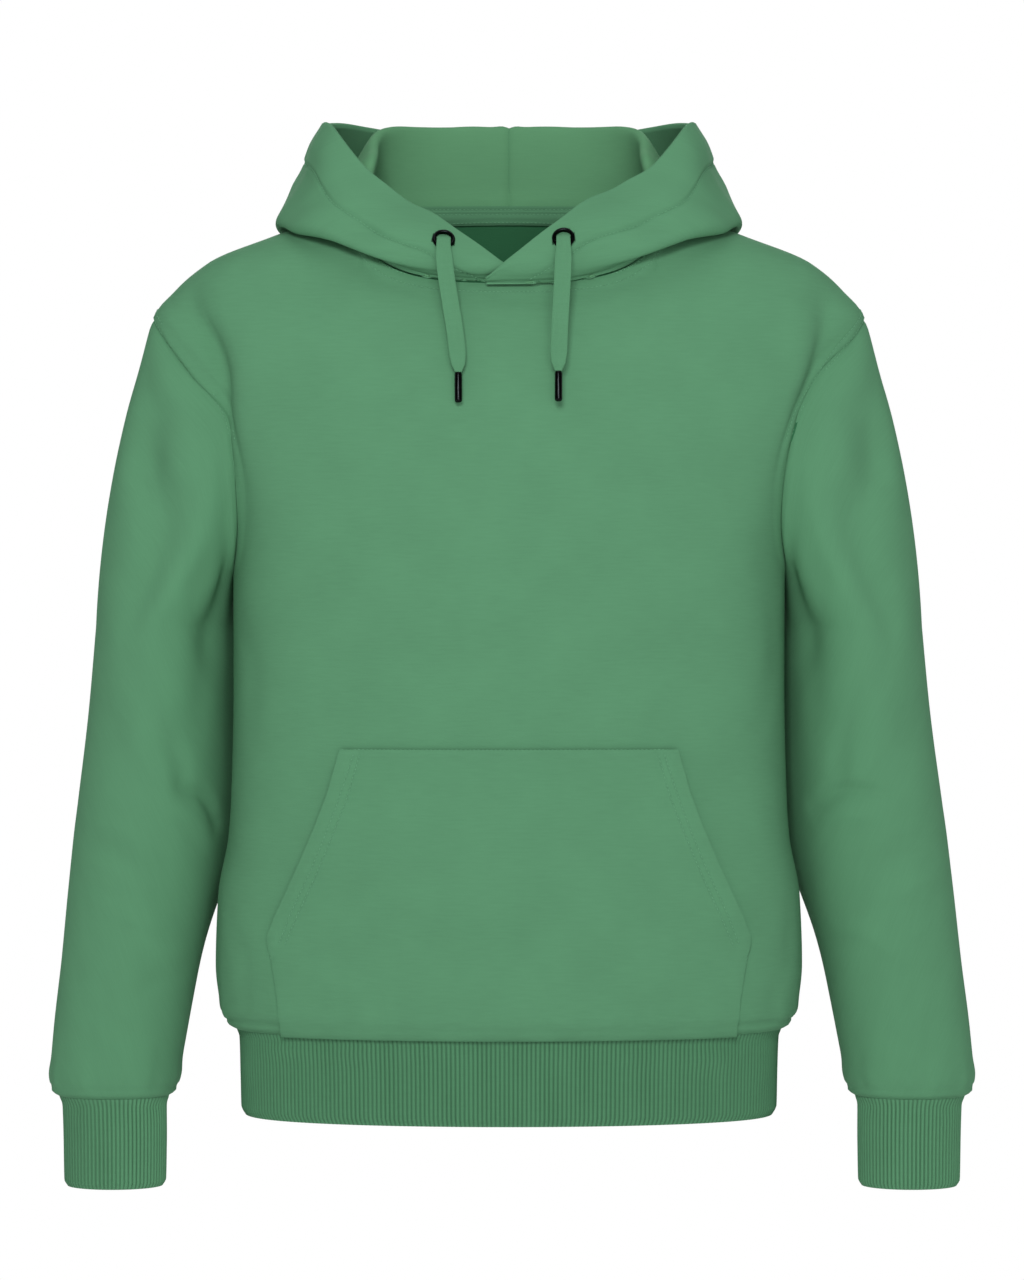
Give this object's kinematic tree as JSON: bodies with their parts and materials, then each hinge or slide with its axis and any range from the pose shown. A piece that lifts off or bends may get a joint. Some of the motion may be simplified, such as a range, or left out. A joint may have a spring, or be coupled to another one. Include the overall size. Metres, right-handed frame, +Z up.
{
  "type": "pullover hoodie",
  "caption": "Pullover hoodie in its worn shape with no wearer: set-in sleeves, ribbed cuffs and waistband, pouch pocket, and a hood lying back with a flat drawcord.",
  "frame": {"origin": "middle of the neck opening, at the height where the shoulder seams meet the neck seam", "axes": "+X towards the wearer's left, -Y towards the front, +Z up"},
  "size_m": [0.724, 0.3053, 0.8495],
  "materials": {
    "green_fleece": "matte knitted fleece",
    "green_rib": "matte ribbed knit",
    "green_lining": "matte knitted fleece",
    "green_braid": "matte flat braid",
    "gunmetal": "dark plated metal"
  },
  "bodies": {
    "root": {"front": "green_fleece", "back": "green_fleece", "sleeve_left": "green_fleece", "sleeve_right": "green_fleece", "pocket": "green_fleece", "hood_left": "green_fleece", "hood_right": "green_fleece", "neck_tape": "green_fleece", "cuff_left": "green_rib", "cuff_right": "green_rib", "waistband": "green_rib", "hood_lining_left": "green_lining", "hood_lining_right": "green_lining", "drawcord_left": "green_braid", "drawcord_right": "green_braid", "eyelet_left": "gunmetal", "eyelet_right": "gunmetal", "tip_left": "gunmetal", "tip_right": "gunmetal"}
  },
  "joints": []
}
